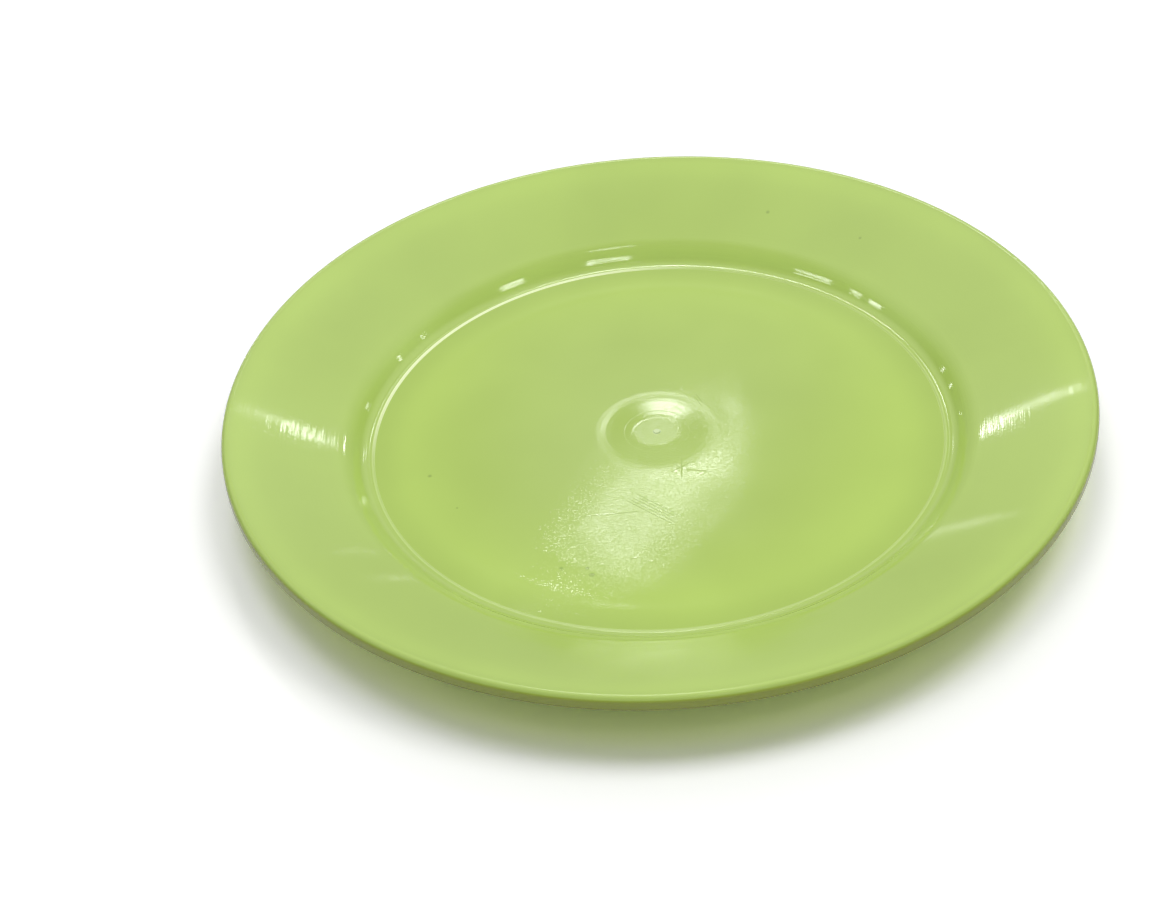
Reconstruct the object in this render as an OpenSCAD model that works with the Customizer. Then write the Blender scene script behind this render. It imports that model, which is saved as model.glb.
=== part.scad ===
// Round dinner plate, injection moulded in one piece from solid-coloured plastic.
// One section is turned about the plate's axis. Its top line runs from the gate mark in the
// centre over a flat floor, a sharp tooling line, a steep wall and a broad sloped rim to a
// turned-down lip. Its underside follows at the wall thickness, with a foot ring under the floor.
// Millimetres. Z = 0 is the surface that the foot ring stands on, and Z is the plate's axis.

/* [Overall] */
// Diameter over the lip
plate_d = 255; // [225:1:300]
// Height from the foot ring's face to the crest of the lip
plate_h = 23; // [19:0.5:32]

/* [Walls] */
// Thickness of the floor
floor_t = 2.2; // [1.6:0.1:3]
// Thickness of the wall and the rim, square to their faces
wall_t = 1.8; // [1.4:0.1:2.6]

/* [Well wall] */
// Steepest slope of the wall between the floor and the rim, in degrees
wall_angle = 46; // [36:1:62]
// Height that the wall climbs from the tooling line to the shoulder
wall_rise = 4.6; // [4:0.1:7]
// Flat left between the tooling line and the cove
land_w = 0.4; // [0.2:0.1:1]
// Radius of the cove where the wall leaves the floor
cove_round = 4.6; // [3:0.1:5.6]
// Radius of the shoulder where the wall turns into the rim
shoulder_round = 5; // [3.2:0.1:7]

/* [Rim and lip] */
// Width of the sloped rim, from the shoulder to the lip's face
rim_w = 35.2; // [24:0.2:44]
// Height of the turned-down lip, crest to parting line
lip_h = 3.8; // [3.2:0.1:6]
// Thickness of the lip
lip_t = 1.9; // [1.5:0.1:2.6]
// Radius over the crest of the lip
lip_round = 1.6; // [1:0.1:2.2]
// Draft of the lip's two faces, in degrees
lip_draft = 2; // [0.5:0.5:5]
// Radius of the fillet where the lip hangs from the rim
lip_fillet = 0.6; // [0.3:0.1:0.8]
// Radius left on the lip's parting line
lip_edge = 0.35; // [0.2:0.05:0.5]

/* [Floor details] */
// Step up from the floor at its tooling line
tool_step = 0.2; // [0.1:0.05:0.4]
// Width of the witness bead that the floor insert leaves on the tooling line
witness_w = 0.5; // [0.3:0.1:0.9]
// Height of the witness bead above the floor
witness_h = 0.3; // [0.2:0.05:0.5]
// Width of the sink groove that lies in the floor over the foot ring
sink_w = 7; // [4:0.5:10]
// Depth of the sink groove
sink_depth = 0.07; // [0.03:0.01:0.2]

/* [Gate mark] */
// Radius of the shallow dish round the gate
dish_r = 16.2; // [12:0.2:22]
// Depth of the dish
dish_depth = 0.22; // [0.1:0.02:0.5]
// Radius of the flat disc at the bottom of the dish
disc_r = 6.3; // [4:0.1:9]
// Depth of the disc below the dish
disc_depth = 0.16; // [0.08:0.02:0.4]
// Width of the bank that climbs from the disc to its sharp edge
bank_w = 3.4; // [1:0.1:4]
// Flat left between that edge and the dish's own climb
dish_land = 0.5; // [0.3:0.1:1.2]
// Radius of the trimmed gate stub
stub_r = 1; // [0.6:0.1:1.8]
// Height of the trimmed gate stub
stub_h = 0.25; // [0.15:0.05:0.4]

/* [Foot ring] */
// Distance from the tooling line in to the middle of the foot ring
foot_inset = 11.2; // [8:0.2:20]
// Height of the foot ring below the floor
foot_h = 2.4; // [1.2:0.1:4]
// Width of the foot ring's face
foot_w = 2.4; // [1.6:0.1:4]
// Draft of the foot ring's sides, in degrees
foot_draft = 8; // [2:1:15]
// Radius of the foot ring's lower edges
foot_edge = 0.5; // [0.2:0.1:0.7]
// Radius where the foot ring meets the floor
foot_fillet = 0.8; // [0.3:0.1:1.2]

/* [Hidden] */

// Facets round the plate, the turn that one step of a blend's arc makes in the section, and the
// steps in a swell
round_steps = 180;
arc_step = 7;
swell_steps = 8;
// Radii that soften the stub and the witness bead
stub_soft = 0.12;
bead_soft = 0.12;

plate_r = plate_d / 2;
floor_z = foot_h + floor_t;
wall_z = floor_z + tool_step;
lip_foot = [plate_r, plate_h - lip_h];

// A wall of this slope spans this width, land and cove included
wall_run = land_w + cove_round * tan(wall_angle / 2) + wall_rise / tan(wall_angle);
shoulder_r = plate_r - rim_w;
floor_r = shoulder_r - wall_run;
foot_r = floor_r - foot_inset;

// Unit vector at an angle in the section, which has radius along X and height along Y
function way(a) = [cos(a), sin(a)];

// Point where the line through p at angle a meets the line through q at angle b
function meet(p, a, q, b) = p + way(a) * cross(q - p, way(b)) / cross(way(a), way(b));

// Points of the arc of radius r that rounds the corner at c, between the points before and after
function blend(before, c, after, r) =
    let (
        u = (before - c) / norm(before - c),
        v = (after - c) / norm(after - c),
        half = acos(u * v) / 2,
        centre = c + (u + v) / norm(u + v) * r / sin(half),
        start = c + u * r / tan(half) - centre,
        turn = (cross(u, v) > 0 ? -1 : 1) * (180 - 2 * half),
        steps = max(2, ceil(abs(turn) / arc_step))
    )
    [for (i = [0 : steps]) let (a = turn * i / steps)
        centre + [start.x * cos(a) - start.y * sin(a), start.x * sin(a) + start.y * cos(a)]];

// Outline through a list of [point, radius] corners, each rounded by its radius
function rounded(corners) =
    [for (i = [0 : len(corners) - 1])
        let (
            before = corners[(i + len(corners) - 1) % len(corners)][0],
            after = corners[(i + 1) % len(corners)][0]
        )
        each corners[i][1] > 0
            ? blend(before, corners[i][0], after, corners[i][1])
            : [corners[i][0]]];

// Points of a smooth climb from p to q: 1 - cos from zero to the end angle, which is 180 for a
// climb that levels out and 90 for one that stops at a sharp edge. They are kept as they are.
function swell(p, q, end) =
    [for (i = [0 : swell_steps]) let (t = i / swell_steps)
        [[p.x + (q.x - p.x) * t, p.y + (q.y - p.y) * (1 - cos(end * t)) / (1 - cos(end))], 0]];

// Corners of the top face, before they are rounded. The rim's line touches the arc of the crest.
cove = [floor_r + land_w + cove_round * tan(wall_angle / 2), wall_z];
shoulder = [shoulder_r, wall_z + wall_rise];
crest_centre = [
    plate_r - lip_round / cos(lip_draft) - (lip_h - lip_round) * tan(lip_draft),
    plate_h - lip_round
];
to_crest = crest_centre - shoulder;
rim_angle = atan2(to_crest.y, to_crest.x) + asin(lip_round / norm(to_crest));
face_angle = 90 + lip_draft;
crest = meet(shoulder, rim_angle, lip_foot, face_angle);

// The same lines again, a wall thickness further down
wall_under = cove + wall_t * way(wall_angle - 90);
rim_under = shoulder + wall_t * way(rim_angle - 90);
cove_under = meet([0, foot_h], 0, wall_under, wall_angle);
shoulder_under = meet(wall_under, wall_angle, rim_under, rim_angle);
lip_toe = lip_foot - [lip_t, 0];
lip_root = meet(rim_under, rim_angle, lip_toe, face_angle);

// Gate mark: the stub on a sunken disc, a bank round it, then a shallow dish
dish_z = floor_z - dish_depth;
disc_z = dish_z - disc_depth;
bank_r = disc_r + bank_w;
gate_corners = [
    [[0, disc_z + stub_h], 0],
    [[stub_r, disc_z + stub_h], stub_soft],
    [[stub_r, disc_z], 0],
    each swell([disc_r, disc_z], [bank_r, dish_z], 90),
    each swell([bank_r + dish_land, dish_z], [dish_r, floor_z], 180)
];

// Floor: the sink groove over the foot ring, then the witness bead on the tooling line. The
// groove's bottom point comes once.
sink_in = swell([foot_r - sink_w / 2, floor_z], [foot_r, floor_z - sink_depth], 180);
sink_out = swell([foot_r, floor_z - sink_depth], [foot_r + sink_w / 2, floor_z], 180);
floor_corners = [
    each sink_in,
    for (i = [1 : swell_steps]) sink_out[i],
    [[floor_r - witness_w, floor_z], 0],
    [[floor_r - witness_w / 2, floor_z + witness_h], bead_soft],
    [[floor_r, wall_z], 0]
];

// Wall, rim and lip, over the crest and back under to the floor
rim_corners = [
    [cove, cove_round],
    [shoulder, shoulder_round],
    [crest, lip_round],
    [lip_foot, lip_edge],
    [lip_toe, lip_edge],
    [lip_root, lip_fillet],
    [shoulder_under, shoulder_round - wall_t],
    [cove_under, cove_round + wall_t]
];

// Foot ring, outer side first, and the axis
foot_half = foot_w / 2;
foot_flare = foot_h * tan(foot_draft);
foot_corners = [
    [[foot_r + foot_half + foot_flare, foot_h], foot_fillet],
    [[foot_r + foot_half, 0], foot_edge],
    [[foot_r - foot_half, 0], foot_edge],
    [[foot_r - foot_half - foot_flare, foot_h], foot_fillet],
    [[0, foot_h], 0]
];

module plate() {
    color([0.71, 0.81, 0.43])
        rotate_extrude($fn = round_steps)
            polygon(rounded(concat(gate_corners, floor_corners, rim_corners, foot_corners)));
}

plate();
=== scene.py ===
import math

import bpy
import numpy as np
from mathutils import Matrix, Vector


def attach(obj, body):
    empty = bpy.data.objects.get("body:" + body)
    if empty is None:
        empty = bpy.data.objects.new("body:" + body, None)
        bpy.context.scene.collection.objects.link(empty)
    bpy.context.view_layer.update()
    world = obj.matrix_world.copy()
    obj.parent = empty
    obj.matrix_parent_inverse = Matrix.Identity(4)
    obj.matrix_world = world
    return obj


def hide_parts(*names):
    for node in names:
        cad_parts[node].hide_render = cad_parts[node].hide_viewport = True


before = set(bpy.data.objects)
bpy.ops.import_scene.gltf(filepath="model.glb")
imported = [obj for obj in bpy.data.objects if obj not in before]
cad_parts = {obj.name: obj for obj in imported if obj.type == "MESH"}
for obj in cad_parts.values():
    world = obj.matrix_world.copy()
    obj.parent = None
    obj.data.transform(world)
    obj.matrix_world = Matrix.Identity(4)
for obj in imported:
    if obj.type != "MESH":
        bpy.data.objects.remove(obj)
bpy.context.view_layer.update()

# The plate: one shot of lime green plastic, moulded with a matt-cut tool whose turning marks stay on
# it. A gate mark sits in the middle, a sharp line runs where the tool's floor insert ended, and a
# steep wall climbs to a broad sloped rim with a turned-down lip. The floor is lightly scratched.


def rounded_corner(before, corner, after, radius, turn_step=math.radians(3.2)):
    """Arc of a radius that touches both lines of a corner. Its centre lies on the bisector, radius /
    sin(half the corner's angle) from the corner, and the arc turns by 180 degrees less that angle."""
    u = (before - corner) / np.linalg.norm(before - corner)
    v = (after - corner) / np.linalg.norm(after - corner)
    half = math.acos(np.clip(u @ v, -1, 1)) / 2
    centre = corner + (u + v) / np.linalg.norm(u + v) * radius / math.sin(half)
    start = corner + u * radius / math.tan(half) - centre
    turn = (-1 if u[0] * v[1] - u[1] * v[0] > 0 else 1) * (math.pi - 2 * half)
    a = np.linspace(0, turn, max(4, math.ceil(abs(turn) / turn_step) + 1))
    return centre + np.stack([start[0] * np.cos(a) - start[1] * np.sin(a),
                              start[0] * np.sin(a) + start[1] * np.cos(a)], axis=1)


def swell(start, end, last, steps=16):
    """Smooth climb from start to end: its height follows 1 - cos from zero to the last angle."""
    t = np.linspace(0, 1, steps + 1)
    share = (1 - np.cos(last * t)) / (1 - math.cos(last))
    return np.stack([start[0] + (end[0] - start[0]) * t, start[1] + (end[1] - start[1]) * share], axis=1)


def crossing(p, a, q, b):
    """Point where the line through p at angle a meets the line through q at angle b."""
    d = np.array([math.cos(a), math.sin(a)])
    e = np.array([math.cos(b), math.sin(b)])
    along = ((q[0] - p[0]) * e[1] - (q[1] - p[1]) * e[0]) / (d[0] * e[1] - d[1] * e[0])
    return p + d * along


def plate_section():
    """Closed section of the plate in millimetres, radius and height: from the middle of the top face
    out over floor, wall, rim and lip, and back along the underside to the middle."""
    plate_r, plate_h, floor_t, wall_t = 127.5, 23.0, 2.2, 1.8
    wall_a, rise, land, cove_round, shoulder_round = math.radians(46), 4.6, 0.4, 4.6, 5.0
    top_cove, top_shoulder = 4.6, 13.0
    lip_h, lip_t, lip_round, draft = 3.8, 1.9, 1.6, math.radians(2)
    foot_h, foot_w, foot_a = 2.4, 2.4, math.radians(8)
    floor_z, wall_z = foot_h + floor_t, foot_h + floor_t + 0.2
    shoulder_r = plate_r - 35.2
    floor_r = shoulder_r - (land + cove_round * math.tan(wall_a / 2) + rise / math.tan(wall_a))
    foot_r = floor_r - 11.2

    cove = np.array([floor_r + land + cove_round * math.tan(wall_a / 2), wall_z])
    shoulder = np.array([shoulder_r, wall_z + rise])
    lip_foot = np.array([plate_r, plate_h - lip_h])
    crest_centre = np.array([plate_r - lip_round / math.cos(draft) - (lip_h - lip_round) * math.tan(draft),
                             plate_h - lip_round])
    to_crest = crest_centre - shoulder
    rim_a = math.atan2(to_crest[1], to_crest[0]) + math.asin(lip_round / np.linalg.norm(to_crest))
    face_a = math.pi / 2 + draft
    crest = crossing(shoulder, rim_a, lip_foot, face_a)
    wall_under = cove + wall_t * np.array([math.sin(wall_a), -math.cos(wall_a)])
    rim_under = shoulder + wall_t * np.array([math.sin(rim_a), -math.cos(rim_a)])
    cove_under = crossing(np.array([0, foot_h]), 0, wall_under, wall_a)
    shoulder_under = crossing(wall_under, wall_a, rim_under, rim_a)
    lip_toe = lip_foot - np.array([lip_t, 0])
    lip_root = crossing(rim_under, rim_a, lip_toe, face_a)

    dish_z, disc_z, groove_z = floor_z - 0.62, floor_z - 0.84, floor_z - 0.022
    disc_r, bank_r, dish_r, stub_r, stub_z = 6.3, 9.7, 16.1, 1.0, disc_z + 0.25
    flare = foot_h * math.tan(foot_a)
    line_in, line_top = np.array([floor_r - 0.5, floor_z]), np.array([floor_r - 0.25, floor_z + 0.2])
    line_out = np.array([floor_r, wall_z])
    stub_middle, stub_top = np.array([0, stub_z]), np.array([stub_r, stub_z])
    stub_foot = np.array([stub_r, disc_z])
    dish_in, dish_out = np.array([bank_r + 0.2, dish_z]), np.array([dish_r, floor_z])
    foot_out = np.array([foot_r + foot_w / 2 + flare, foot_h])
    foot_in = np.array([foot_r - foot_w / 2 - flare, foot_h])
    toe_out = np.array([foot_r + foot_w / 2, 0])
    toe_in = np.array([foot_r - foot_w / 2, 0])
    runs = [
        [stub_middle],
        rounded_corner(stub_middle, stub_top, stub_foot, 0.12, math.radians(15)),
        [stub_foot],
        swell([disc_r, disc_z], [bank_r, dish_z], math.pi / 2),
        [dish_in],
        rounded_corner(dish_in, dish_out, np.array([60, floor_z]), 45),
        swell([foot_r - 3.5, floor_z], [foot_r, groove_z], math.pi),
        swell([foot_r, groove_z], [foot_r + 3.5, floor_z], math.pi)[1:],
        [line_in],
        rounded_corner(line_in, line_top, line_out, 0.12, math.radians(10)),
        [line_out],
        rounded_corner(line_out, cove, shoulder, top_cove),
        rounded_corner(cove, shoulder, crest, top_shoulder),
        rounded_corner(shoulder, crest, lip_foot, lip_round, math.radians(8)),
        rounded_corner(crest, lip_foot, lip_toe, 0.35, math.radians(18)),
        rounded_corner(lip_foot, lip_toe, lip_root, 0.35, math.radians(18)),
        rounded_corner(lip_toe, lip_root, shoulder_under, 0.6, math.radians(14)),
        rounded_corner(lip_root, shoulder_under, cove_under, shoulder_round - wall_t, math.radians(6)),
        rounded_corner(shoulder_under, cove_under, foot_out, cove_round + wall_t, math.radians(6)),
        rounded_corner(cove_under, foot_out, toe_out, 0.8, math.radians(12)),
        rounded_corner(foot_out, toe_out, toe_in, 0.5, math.radians(14)),
        rounded_corner(toe_out, toe_in, foot_in, 0.5, math.radians(14)),
        rounded_corner(toe_in, foot_in, np.array([0, foot_h]), 0.8, math.radians(12)),
        [[0, foot_h]],
    ]
    return np.concatenate([np.asarray(run, float) for run in runs])


def filled_out(section, longest, hold=0.08):
    """Puts evenly spaced points into each straight that is longer than the longest allowed, and one
    close to each end of a straight, so that smooth shading keeps the straights straight."""
    gap = np.linalg.norm(np.diff(section, axis=0), axis=1)
    steps = [np.arange(max(1, math.ceil(g / longest))) / max(1, math.ceil(g / longest)) for g in gap]
    ends = [[hold / g, 1 - hold / g] if g > 0.6 else [] for g in gap]
    at = np.concatenate([np.union1d(a, b) + i for i, (a, b) in enumerate(zip(steps, ends))] + [[len(gap)]])
    index = np.arange(len(section))
    return np.stack([np.interp(at, index, section[:, 0]), np.interp(at, index, section[:, 1])], axis=1)


def turned_mesh(name, section, around):
    """Closed turning of a section about Z: point i of the section at step j of the circle stands at
    (r cos a, r sin a, z) with a = 2 pi j / around. The first and the last point are single poles."""
    r, z = section[1:-1, 0], section[1:-1, 1]
    a = np.arange(around) * 2 * math.pi / around
    height = np.repeat(z[:, None], around, 1)
    grid = np.stack([r[:, None] * np.cos(a), r[:, None] * np.sin(a), height], axis=-1)
    points = np.concatenate([[[0, 0, section[0, 1]]], grid.reshape(-1, 3), [[0, 0, section[-1, 1]]]])
    j = np.arange(around)
    k = (j + 1) % around
    row = 1 + around * np.arange(len(r) - 1)[:, None]
    quads = np.stack([row + j, row + around + j, row + around + k, row + k], axis=-1).reshape(-1, 4)
    last = len(points) - 1
    fans = np.concatenate([np.stack([np.zeros(around, int), 1 + j, 1 + k], axis=-1),
                           np.stack([np.full(around, last), last - around + k, last - around + j], axis=-1)])
    mesh = bpy.data.meshes.new(name)
    mesh.from_pydata(points.tolist(), [], quads.tolist() + fans.tolist())
    mesh.shade_smooth()
    return mesh


section = filled_out(plate_section(), 5.0)
plate = bpy.data.objects.new("plate_moulding", turned_mesh("plate_moulding", section * 0.001, 336))
bpy.context.scene.collection.objects.link(plate)


def put(tree, kind, inputs, output=0, **settings):
    """Adds a node with its settings, links or fills its inputs, and gives one of its outputs."""
    made = tree.nodes.new(kind)
    for name, value in settings.items():
        setattr(made, name, value)
    for place, value in inputs.items():
        if isinstance(value, bpy.types.NodeSocket):
            tree.links.new(value, made.inputs[place])
        else:
            made.inputs[place].default_value = value
    return made.outputs[output]


def sums(tree, operation, first, second=0.0, third=0.0):
    """One Math node."""
    return put(tree, "ShaderNodeMath", {0: first, 1: second, 2: third}, operation=operation)


def eased(tree, value, start, end, low=0.0, high=1.0):
    """Smooth step of a value, from low at start to high at end."""
    return put(tree, "ShaderNodeMapRange", {0: value, 1: start, 2: end, 3: low, 4: high},
               interpolation_type="SMOOTHSTEP")


def scratch_group():
    """Depth of one scratch: 1 on the segment from Start to End, zero past its width, less at the ends.
    The nearest point of the segment is Start + h (End - Start) with h = (p - s).(e - s) / |e - s|^2."""
    group = bpy.data.node_groups.new("one_scratch", "ShaderNodeTree")
    for label, kind in (("Place", "Vector"), ("Start", "Vector"), ("End", "Vector"), ("Width", "Float")):
        group.interface.new_socket(name=label, in_out="INPUT", socket_type="NodeSocket" + kind)
    group.interface.new_socket(name="Depth", in_out="OUTPUT", socket_type="NodeSocketFloat")
    given = group.nodes.new("NodeGroupInput").outputs
    here = put(group, "ShaderNodeVectorMath", {0: given["Place"], 1: given["Start"]}, operation="SUBTRACT")
    whole = put(group, "ShaderNodeVectorMath", {0: given["End"], 1: given["Start"]}, operation="SUBTRACT")
    along = put(group, "ShaderNodeVectorMath", {0: here, 1: whole}, output=1, operation="DOT_PRODUCT")
    square = put(group, "ShaderNodeVectorMath", {0: whole, 1: whole}, output=1, operation="DOT_PRODUCT")
    h = put(group, "ShaderNodeMath", {0: along, 1: square}, operation="DIVIDE", use_clamp=True)
    foot = put(group, "ShaderNodeVectorMath", {0: whole, 3: h}, operation="SCALE")
    away = put(group, "ShaderNodeVectorMath", {0: here, 1: foot}, output=1, operation="DISTANCE")
    line = eased(group, away, given["Width"], 0.0)
    fade = sums(group, "MULTIPLY", sums(group, "MULTIPLY", h, 4.0), sums(group, "SUBTRACT", 1.0, h))
    depth = sums(group, "MULTIPLY", line, sums(group, "POWER", sums(group, "MAXIMUM", fade, 0.02), 0.4))
    end = group.nodes.new("NodeGroupOutput")
    group.links.new(depth, end.inputs["Depth"])
    return group


def scratch(tree, group, spot, start, end, width):
    """One scratch from start to end, in millimetres, and its depth."""
    made = tree.nodes.new("ShaderNodeGroup")
    made.node_tree = group
    tree.links.new(spot, made.inputs["Place"])
    made.inputs["Start"].default_value = (*start, 0)
    made.inputs["End"].default_value = (*end, 0)
    made.inputs["Width"].default_value = width
    return made.outputs[0]


plastic = bpy.data.materials.new("green_plastic")
plastic.use_nodes = True
tree = plastic.node_tree
tree.nodes.clear()
place = put(tree, "ShaderNodeTexCoord", {}, output=3)
millimetres = put(tree, "ShaderNodeVectorMath", {0: place, 3: 1000.0}, operation="SCALE")
flat_place = put(tree, "ShaderNodeVectorMath", {0: millimetres, 1: (1.0, 1.0, 0.0)}, operation="MULTIPLY")
radius = put(tree, "ShaderNodeVectorMath", {0: flat_place}, output=1, operation="LENGTH")
bearing = put(tree, "ShaderNodeVectorMath", {0: flat_place}, operation="NORMALIZE")
on_floor = eased(tree, radius, 86.0, 84.5)

# Painted light in the body colour: a gain by radius paints a glow on the floor's outer ring, high on the
# wall and at the edge of the rim, for light gathered inside the plastic, and painted shade low on the wall
# and on the lip. Each stop has its radius in millimetres and its gain.
stops = (
    (0, 0.93), (46, 0.93), (60, 0.99), (70, 1.05), (76, 1.07), (81, 0.985), (85.5, 0.94), (88, 0.94),
    (90, 1.10), (92.5, 1.0), (98, 0.965), (110, 0.975), (117, 1.01), (122, 1.09), (125, 1.05), (127, 0.90),
)
ramp_end = 130.0
painted_glow_ramp = tree.nodes.new("ShaderNodeValToRGB")
tree.links.new(sums(tree, "DIVIDE", radius, ramp_end), painted_glow_ramp.inputs[0])
painted_glow_ramp.color_ramp.interpolation = "B_SPLINE"
while len(painted_glow_ramp.color_ramp.elements) < len(stops):
    painted_glow_ramp.color_ramp.elements.new(0.5)
for element, (at, gain) in zip(painted_glow_ramp.color_ramp.elements, stops):
    element.position = at / ramp_end
    element.color = (0.424 * gain, 0.583 * gain, 0.117 * gain, 1.0)
cloud = put(tree, "ShaderNodeTexNoise", {"Vector": millimetres, "Scale": 0.025, "Detail": 2.0})
mottle = eased(tree, cloud, 0.25, 0.75, 0.97, 1.03)
body = put(tree, "ShaderNodeVectorMath", {0: painted_glow_ramp.outputs[0], 3: mottle}, operation="SCALE")

# Painted shade: the lip's face is darkened in its colour as if in its own shade, deeper and more olive
# towards the parting line.
heights = tree.nodes.new("ShaderNodeSeparateXYZ")
tree.links.new(millimetres, heights.inputs[0])
lip_shade = sums(tree, "MULTIPLY", eased(tree, radius, 127.0, 127.42, 1.0, 0.66),
                 eased(tree, heights.outputs[2], 19.3, 20.0, 0.62, 1.0))
lip_shade = put(tree, "ShaderNodeMix", {0: eased(tree, radius, 125.0, 126.5), 2: 1.0, 3: lip_shade})
lip_painted_shade = put(tree, "ShaderNodeCombineXYZ", {0: lip_shade, 1: sums(tree, "POWER", lip_shade, 1.25),
                                              2: sums(tree, "POWER", lip_shade, 4.0)})
body = put(tree, "ShaderNodeVectorMath", {0: body, 1: lip_painted_shade}, operation="MULTIPLY")

# Painted sheen and highlight: the gate's disc is painted a slightly paler skin for its sheen, and its
# trimmed stub is painted almost white as a painted highlight.
gate_painted_sheen = sums(tree, "ADD", eased(tree, radius, 6.6, 5.4, 0.0, 0.05), eased(tree, radius, 1.5, 1.0, 0.0, 0.35))
colour_with_gate_sheen = put(tree, "ShaderNodeMix", {0: gate_painted_sheen, 6: body, 7: (0.80, 0.88, 0.66, 1)}, output=2,
              data_type="RGBA")

# Turning marks of the mould: noise along the radius that changes only slowly round the plate.
ringed = put(tree, "ShaderNodeVectorMath", {0: bearing, 3: 3.0}, operation="SCALE")
rings = put(tree, "ShaderNodeCombineXYZ", {2: radius})
turned = put(tree, "ShaderNodeVectorMath", {0: ringed, 1: rings}, operation="ADD")
marks = put(tree, "ShaderNodeTexNoise", {"Vector": turned, "Scale": 2.3, "Detail": 0.0})
marks_depth = sums(tree, "MULTIPLY", marks, eased(tree, radius, 84.0, 92.0, 0.0012, 0.0105))
sway = put(tree, "ShaderNodeTexNoise", {"Vector": millimetres, "Scale": 0.045, "Detail": 0.0})
relief = sums(tree, "MULTIPLY_ADD", sway, 0.05, marks_depth)

# Fine wear of the floor: short straight hairlines that run two ways, in a band in front of the gate.
wear = 0.0
for turn, stretch in ((0.45, 1.9), (2.10, 2.3)):
    lay = put(tree, "ShaderNodeMapping", {0: flat_place, 1: (turn * 9, turn * 4, 0), 2: (0, 0, turn),
                                          3: (0.32, 1.3, 1.0)})
    grain = put(tree, "ShaderNodeTexNoise", {"Vector": lay, "Scale": stretch, "Detail": 0.0},
                noise_dimensions="2D")
    wear = sums(tree, "ADD", eased(tree, grain, 0.52, 0.68), wear)
one_scratch = scratch_group()
wear = sums(tree, "MULTIPLY", wear, scratch(tree, one_scratch, flat_place, (18, 10), (-22, -60), 30.0))

# Five parallel scratches: lines 1 mm apart in a turned frame, each of its own length.
strokes = put(tree, "ShaderNodeMapping", {0: flat_place, 1: (1.9, 35.9, 0)})
strokes = put(tree, "ShaderNodeMapping", {0: strokes, 2: (0, 0, math.radians(41.5))})
split = tree.nodes.new("ShaderNodeSeparateXYZ")
tree.links.new(strokes, split.inputs[0])
along, beside = split.outputs[0], split.outputs[1]
lane = put(tree, "ShaderNodeMath", {0: beside, 1: 0.5}, operation="PINGPONG")
lane_number = sums(tree, "SNAP", sums(tree, "ADD", beside, 0.5), 1.0)
length = put(tree, "ShaderNodeTexNoise", {"W": lane_number, "Scale": 3.1}, noise_dimensions="1D")
length = sums(tree, "MULTIPLY", length, 15.5)
row_cuts = eased(tree, lane, 0.26, 0.06)
row_cuts = sums(tree, "MULTIPLY", row_cuts, eased(tree, sums(tree, "ABSOLUTE", beside), 2.6, 2.3))
ends = sums(tree, "SUBTRACT", sums(tree, "ABSOLUTE", along), length)
row_cuts = sums(tree, "MULTIPLY", row_cuts, eased(tree, ends, 1.5, -2.0))

# Single scratches on the floor, start and end in millimetres, with their width.
scratches = (
    ((-23.4, -37.5), (-5.9, -36.6), 0.345), ((2.9, -20.5), (10.4, -15.6), 0.322),
    ((6.8, -13.7), (6.5, -23.1), 0.322), ((4.0, -16.1), (8.9, -20.5), 0.276),
    ((7.8, -19.3), (15.4, -21.1), 0.322), ((12.6, 16.4), (14.6, 11.3), 0.322),
    ((12.0, 15.6), (14.1, 10.1), 0.276), ((-9.3, -56.5), (-6.9, -55.7), 0.322),
)
cuts = 0.0
for start, end, width in scratches:
    cuts = sums(tree, "MAXIMUM", scratch(tree, one_scratch, flat_place, start, end, width), cuts)

# The relief in millimetres: what the mould's marks leave, less the depth of the scratches and the wear.
relief = sums(tree, "MULTIPLY_ADD", row_cuts, -0.022, relief)
relief = sums(tree, "MULTIPLY_ADD", wear, -0.010, relief)
relief = sums(tree, "MULTIPLY_ADD", cuts, -0.016, relief)
bump = put(tree, "ShaderNodeBump", {"Strength": 1.0, "Distance": 0.001, "Height": relief})

# Specks of dirt: dark dots, each with its own place and radius in millimetres. The scratches are darker
# in colour too.
specks_and_dark_scratches = 0.0
for x, y, size in ((41.5, 98.6, 0.9), (70.1, 79.9, 0.7), (-67.6, -15.4, 0.9), (-58.9, -30.5, 0.5),
                   (-28.7, -58.6, 0.9), (-21.5, -59.2, 0.9), (-20.2, -62.0, 1.1)):
    off = put(tree, "ShaderNodeVectorMath", {0: flat_place, 1: (x, y, 0)}, output=1, operation="DISTANCE")
    specks_and_dark_scratches = sums(tree, "MAXIMUM", eased(tree, off, size, size * 0.2), specks_and_dark_scratches)
all_cuts = sums(tree, "MAXIMUM", row_cuts, cuts)
specks_and_dark_scratches = sums(tree, "MAXIMUM", specks_and_dark_scratches, sums(tree, "MULTIPLY", all_cuts, 0.45))
colour_with_specks_and_painted_light = put(tree, "ShaderNodeMix", {
    0: sums(tree, "MULTIPLY", specks_and_dark_scratches, 0.45),
    6: colour_with_gate_sheen,
    7: (0.15, 0.24, 0.05, 1),
}, output=2, data_type="RGBA")

# The tooling line is a thin flash, painted whitish: partly the flash's own paler plastic, partly a painted
# highlight, strongest on the back-left side and faint towards the front.
lit_side = put(tree, "ShaderNodeVectorMath", {0: bearing, 1: (-0.669, 0.743, 0)}, output=1,
          operation="DOT_PRODUCT")
bead = sums(tree, "MULTIPLY", eased(tree, radius, 84.75, 84.95), eased(tree, radius, 85.95, 85.70))
flash_and_painted_highlight = sums(tree, "MULTIPLY", bead, eased(tree, lit_side, 0.55, 0.92, 0.08, 0.85))
colour_with_specks_and_painted_light = put(tree, "ShaderNodeMix", {0: flash_and_painted_highlight, 6: colour_with_specks_and_painted_light, 7: (0.92, 1.0, 0.62, 1)}, output=2,
              data_type="RGBA")

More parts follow.
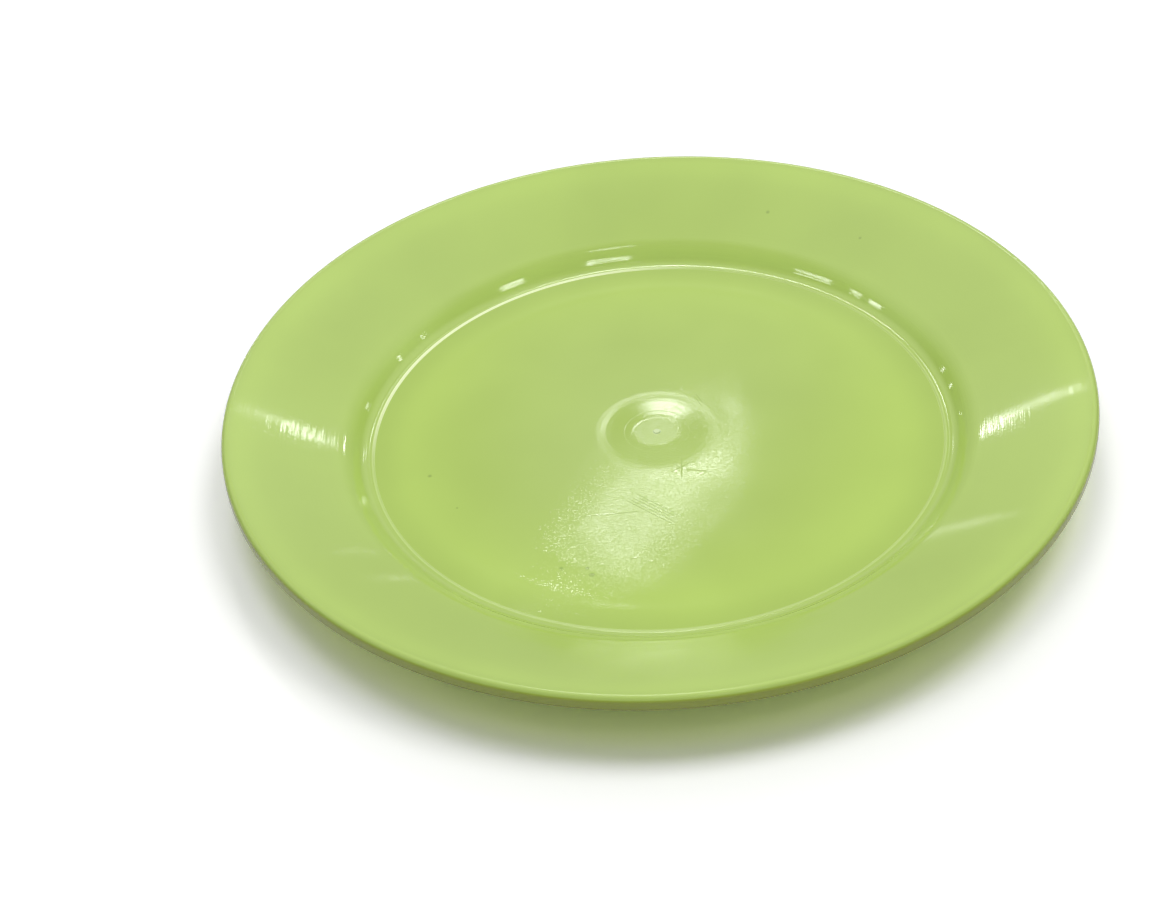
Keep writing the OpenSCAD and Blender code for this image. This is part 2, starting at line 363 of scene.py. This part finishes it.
# How rough each part is: smooth on the floor and the rim, less so in the worn band, on the gate's disc
# and dish, on the bead of the tooling line and over the crest of the lip.
smear = put(tree, "ShaderNodeTexNoise", {"Vector": millimetres, "Scale": 0.06, "Detail": 1.0})
finish = eased(tree, on_floor, 0.0, 1.0, 0.064, 0.055)
finish = sums(tree, "ADD", finish, eased(tree, radius, 6.6, 5.6, 0.0, 0.12))
finish = sums(tree, "ADD", finish, eased(tree, smear, 0.3, 0.7, -0.008, 0.012))
finish = sums(tree, "MULTIPLY_ADD", wear, 0.02, finish)
blush = sums(tree, "MULTIPLY", eased(tree, radius, 6.5, 9.5), eased(tree, radius, 21.0, 17.0))
finish = sums(tree, "MULTIPLY_ADD", blush, 0.075, finish)
finish = sums(tree, "MULTIPLY_ADD", bead, 0.28, finish)
finish = sums(tree, "ADD", eased(tree, radius, 124.0, 126.0, 0.0, 0.12), finish)

shader = put(tree, "ShaderNodeBsdfPrincipled", {
    "Base Color": colour_with_specks_and_painted_light,
    "Roughness": finish,
    "IOR": 1.6,
    "Specular IOR Level": 0.55,
    "Normal": bump,
})
out = tree.nodes.new("ShaderNodeOutputMaterial")
tree.links.new(shader, out.inputs["Surface"])
plate.data.materials.append(plastic)

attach(plate, "root")
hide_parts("plate")

# The floor: a wide white studio sweep. It keeps the plate's soft shadow, and close to the plate, under
# the rim, painted olive light stands in for the light that comes through the plastic. For the camera its lit
# part is plain white.
floor_mesh = bpy.data.meshes.new("floor_sheet")
floor_mesh.from_pydata([(-6, -6, 0), (6, -6, 0), (6, 6, 0), (-6, 6, 0)], [], [(0, 1, 2, 3)])
floor_sheet = bpy.data.objects.new("floor_sheet", floor_mesh)
bpy.context.scene.collection.objects.link(floor_sheet)
paper = bpy.data.materials.new("white_paper")
paper.use_nodes = True
tree = paper.node_tree
tree.nodes.clear()
camera_ray = put(tree, "ShaderNodeLightPath", {}, output=0)
spot = put(tree, "ShaderNodeTexCoord", {}, output=3)
out_from_plate = put(tree, "ShaderNodeVectorMath", {0: spot}, output=1, operation="LENGTH")
# Painted olive light on the floor under the rim, for light that comes through the plastic.
painted_olive_light = eased(tree, out_from_plate, 0.115, 0.131, 1.0, 0.0)
white = put(tree, "ShaderNodeMix", {0: painted_olive_light, 6: (1.09, 1.09, 1.09, 1), 7: (1.30, 1.36, 0.88, 1)},
            output=2, data_type="RGBA")
shade = put(tree, "ShaderNodeMix", {0: camera_ray, 6: (0.8, 0.8, 0.8, 1), 7: white}, output=2,
            data_type="RGBA")
matt = put(tree, "ShaderNodeBsdfDiffuse", {"Color": shade})
out = tree.nodes.new("ShaderNodeOutputMaterial")
tree.links.new(matt, out.inputs["Surface"])
floor_mesh.materials.append(paper)

# The room: bright overhead and behind the plate, dark towards the viewer, with a dim wall behind the
# plate where a pale slanted reflection lies. The camera sees it white.
world = bpy.data.worlds.new("studio")
bpy.context.scene.world = world
world.use_nodes = True
tree = world.node_tree
tree.nodes.clear()
direction = put(tree, "ShaderNodeTexCoord", {}, output=0)
parts = tree.nodes.new("ShaderNodeSeparateXYZ")
tree.links.new(direction, parts.inputs[0])
across, deep, up = parts.outputs
lean = put(tree, "ShaderNodeVectorMath", {0: direction, 1: (0.0, -0.05, 0.9987)}, output=1,
           operation="DOT_PRODUCT")
sky = sums(tree, "ADD", eased(tree, lean, 0.05, 0.8, 0.05, 1.2), eased(tree, deep, 0.6, 0.95, 0.0, 0.52))
back_wall = put(tree, "ShaderNodeVectorMath", {0: direction, 1: (-0.03, 0.731, 0.682)}, output=1,
                operation="DOT_PRODUCT")
sky = sums(tree, "MULTIPLY", sky, eased(tree, back_wall, 0.955, 0.988, 1.0, 0.42))
ahead = sums(tree, "MAXIMUM", deep, 0.05)
sideways = sums(tree, "DIVIDE", across, ahead)
climb = sums(tree, "DIVIDE", up, ahead)
right_edge = sums(tree, "MULTIPLY_ADD", climb, 0.5, sideways)
haze = sums(tree, "MULTIPLY", eased(tree, sideways, -0.15, -0.03), eased(tree, right_edge, 0.57, 0.40))
haze = sums(tree, "MULTIPLY", haze, eased(tree, climb, 0.62, 0.84))
haze = sums(tree, "MULTIPLY", haze, eased(tree, climb, 0.97, 0.85))
sky_in_gloss = sums(tree, "MULTIPLY", sky, eased(tree, deep, -0.1, 0.35, 0.4, 1.0))
glow = sums(tree, "MULTIPLY_ADD", haze, 0.66, sky_in_gloss)
light_path = tree.nodes.new("ShaderNodeLightPath")
light = put(tree, "ShaderNodeMix", {0: light_path.outputs["Is Glossy Ray"], 3: glow,
                                    2: sums(tree, "MULTIPLY", sky, 0.54)})
strength = put(tree, "ShaderNodeMix", {0: light_path.outputs["Is Camera Ray"], 2: light, 3: 1.0})
surround = put(tree, "ShaderNodeBackground", {0: (1, 1, 1, 1), 1: strength})
out = tree.nodes.new("ShaderNodeOutputWorld")
tree.links.new(surround, out.inputs["Surface"])


def strip(name, start, end, width, brightness):
    """Lamp strip from start to end that faces the plate. The brightness is what a mirror would show, and
    the lamp's power is brightness x pi x area."""
    start, end = Vector(start), Vector(end)
    middle, along = (start + end) / 2, end - start
    lamp = bpy.data.lights.new(name, "AREA")
    lamp.shape = "RECTANGLE"
    lamp.size, lamp.size_y = along.length, width
    lamp.energy = brightness * math.pi * along.length * width
    back = (middle - along.normalized() * middle.dot(along.normalized())).normalized()
    side = back.cross(along.normalized())
    frame_of_lamp = Matrix((along.normalized(), side, back)).transposed().to_4x4()
    holder = bpy.data.objects.new(name, lamp)
    holder.matrix_world = Matrix.Translation(middle) @ frame_of_lamp
    holder.visible_camera = False
    bpy.context.scene.collection.objects.link(holder)


# The lamps: one slanted window behind the plate and its frame, and the small far windows and ceiling
# lamps that show as streaks on the rim and as sparks on the wall of the well.
strip("window_low", (0.038, 1.532, 1.285), (-0.085, 1.452, 1.372), 0.078, 4.3)
strip("window_side", (0.085, 1.532, 1.285), (-0.001, 1.460, 1.362), 0.040, 1.3)
strip("window_sill", (-0.014, 1.524, 1.293), (0.096, 1.521, 1.296), 0.036, 8.0)
strip("window_jamb", (0.100, 1.570, 1.237), (0.100, 1.527, 1.288), 0.020, 4.5)
strip("window_high", (-0.818, 5.476, 5.774), (0.299, 4.894, 6.322), 0.300, 25.0)
strip("left_bright", (0.493, 1.609, 1.081), (0.483, 1.569, 1.143), 0.012, 30.0)
strip("left_tail", (0.483, 1.569, 1.143), (0.429, 1.562, 1.173), 0.030, 2.2)
strip("left_end", (0.436, 1.560, 1.168), (0.424, 1.560, 1.176), 0.026, 3.5)
strip("left_dot", (0.490, 1.618, 1.070), (0.488, 1.620, 1.064), 0.006, 10.0)
strip("right_bright", (-0.462, 1.713, 0.923), (-0.456, 1.678, 0.988), 0.020, 20.0)
strip("right_thin", (-0.456, 1.678, 0.988), (-0.445, 1.661, 1.020), 0.018, 12.0)
strip("right_faint", (-0.445, 1.661, 1.020), (-0.406, 1.646, 1.061), 0.034, 3.5)
strip("right_blob", (-0.402, 1.646, 1.062), (-0.390, 1.644, 1.070), 0.036, 11.0)
strip("right_low", (-0.240, 1.930, 0.350), (-0.224, 1.892, 0.607), 0.016, 1.8)
strip("left_low_a", (0.260, 1.889, 0.598), (0.248, 1.897, 0.588), 0.006, 8.0)
strip("left_low_b", (0.200, 1.940, 0.442), (0.188, 1.944, 0.432), 0.006, 8.0)
strip("back_left_a", (1.251, -0.526, 1.469), (1.092, -0.690, 1.527), 0.030, 16.0)
strip("back_left_b", (0.554, -1.010, 1.635), (0.156, -1.098, 1.664), 0.030, 14.0)
strip("back_left_c", (0.329, -0.124, 1.969), (0.035, -0.300, 1.977), 0.030, 8.0)
strip("back_right_a", (-1.257, -0.521, 1.466), (-1.462, -0.212, 1.348), 0.024, 12.0)
strip("back_right_b", (-1.549, -0.008, 1.265), (-1.585, 0.109, 1.215), 0.020, 14.0)
strip("back_right_c", (-1.606, 0.198, 1.176), (-1.628, 0.336, 1.112), 0.020, 14.0)
strip("side_right_a", (-1.444, 1.244, 0.573), (-1.444, 1.274, 0.573), 0.020, 16.0)
strip("side_right_b", (-1.341, 1.401, 0.444), (-1.341, 1.431, 0.444), 0.024, 16.0)
strip("side_right_c", (-1.130, 1.640, 0.210), (-1.040, 1.700, 0.130), 0.030, 18.0)
strip("side_left_a", (1.626, 0.310, 1.117), (1.626, 0.342, 1.117), 0.020, 18.0)
strip("side_left_b", (1.632, 0.650, 0.955), (1.632, 0.690, 0.955), 0.022, 16.0)
strip("side_left_e", (1.452, 1.245, 0.584), (1.420, 1.298, 0.542), 0.014, 9.0)
strip("side_left_g", (0.780, 1.582, 0.943), (0.781, 1.654, 0.809), 0.030, 18.0)

# Two broad soft lamps overhead, further to the right than to the left, give the two soft shadows. They
# are round, and they light the plate without showing in its gloss.
soft_lamps = (("soft_right", (0.72, 0.05, 1.86), 6.9), ("soft_left", (-0.30, 0.0, 1.97), 5.1))
for name, (x, y, z), brightness in soft_lamps:
    strip(name, (x - 0.4, y, z), (x + 0.4, y, z), 0.8, brightness * math.pi / 4)
    bpy.data.objects[name].data.shape = "DISK"
    bpy.data.objects[name].visible_glossy = False

# The camera, set from the photograph's ellipses and lines.
camera = bpy.data.objects.new("camera", bpy.data.cameras.new("camera"))
camera.data.lens = 59.37
camera.data.sensor_width = 36.0
camera.data.clip_end = 50.0
eye = Vector((0.0, -0.4522, 0.3696))
look = Vector((-0.0200, -0.0328, 0.023)) - eye
level = look.to_track_quat("-Z", "Y").to_matrix().to_4x4()
camera.matrix_world = Matrix.Translation(eye) @ level @ Matrix.Rotation(math.radians(-5.21), 4, "Z")
bpy.context.scene.collection.objects.link(camera)
bpy.context.scene.camera = camera
bpy.context.scene.view_settings.view_transform = "Standard"
bpy.context.scene.cycles.max_bounces = 3
bpy.context.scene.cycles.diffuse_bounces = 2
bpy.context.scene.cycles.caustics_reflective = False
